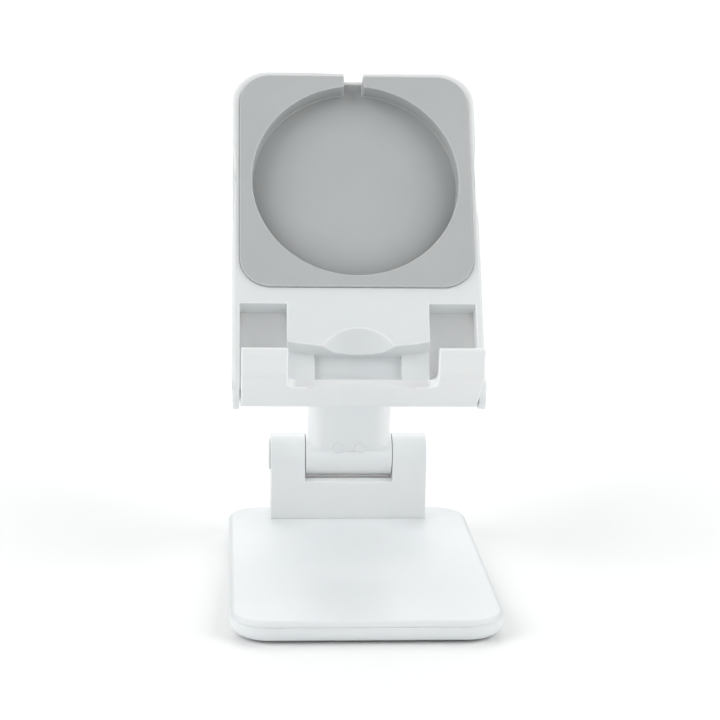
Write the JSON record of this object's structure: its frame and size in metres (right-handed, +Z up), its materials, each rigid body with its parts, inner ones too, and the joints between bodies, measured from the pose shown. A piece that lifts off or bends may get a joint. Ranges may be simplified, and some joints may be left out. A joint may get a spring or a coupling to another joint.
{
  "type": "phone stand",
  "caption": "Folding desktop phone stand with a weighted base, a two-hinge arm, a tilting plate with a round charger recess and a fold-out hooked ledge.",
  "frame": {"origin": "on the table, at the centre of the base's underside", "axes": "+Z up, -Y towards the user, +X to the user's right"},
  "size_m": [0.0684, 0.1061, 0.1326],
  "materials": {
    "white_plastic": "fine satin moulded white ABS",
    "grey_silicone": "matt light grey silicone",
    "sole_rubber": "matt dark grey rubber",
    "cap_plastic": "satin light grey plastic",
    "steel": "bright zinc-plated steel"
  },
  "bodies": {
    "base": {"base_grip_pad": "sole_rubber", "base_bottom_shell": "white_plastic", "base_weight": "steel", "base_top_shell": "white_plastic", "base_screws": "steel", "yoke": "white_plastic", "yoke_screws": "steel", "lower_hinge_pin": "steel", "lower_hinge_washers": "steel", "lower_hinge_nut": "steel", "lower_hinge_caps": "cap_plastic"},
    "arm": {"arm_body": "white_plastic", "arm_rear_cover": "white_plastic", "arm_stiffener": "steel", "arm_screws": "steel", "arm_screw_plugs": "white_plastic"},
    "holder": {"upper_hinge_pin": "steel", "upper_hinge_washers": "steel", "upper_hinge_nut": "steel", "upper_hinge_caps": "cap_plastic", "holder_front": "white_plastic", "holder_back": "white_plastic", "holder_screws": "steel", "grip_pad": "grey_silicone", "ledge_pins": "steel"},
    "ledge": {"ledge": "white_plastic"}
  },
  "joints": [
    {"name": "arm_fold", "type": "hinge", "parent": "base", "child": "arm", "pos_m": [0, 0.04445, 0.0239], "axis": [1, 0, 0], "range_deg": [-15, 40]},
    {"name": "holder_tilt", "type": "hinge", "parent": "arm", "child": "holder", "pos_m": [0, 0.03015, 0.07618], "axis": [-1, 0, 0], "range_deg": [-20, 130]},
    {"name": "ledge_fold", "type": "hinge", "parent": "holder", "child": "ledge", "pos_m": [0, 0.00086, 0.05128], "axis": [-1, 0, 0], "range_deg": [0, 84]}
  ]
}
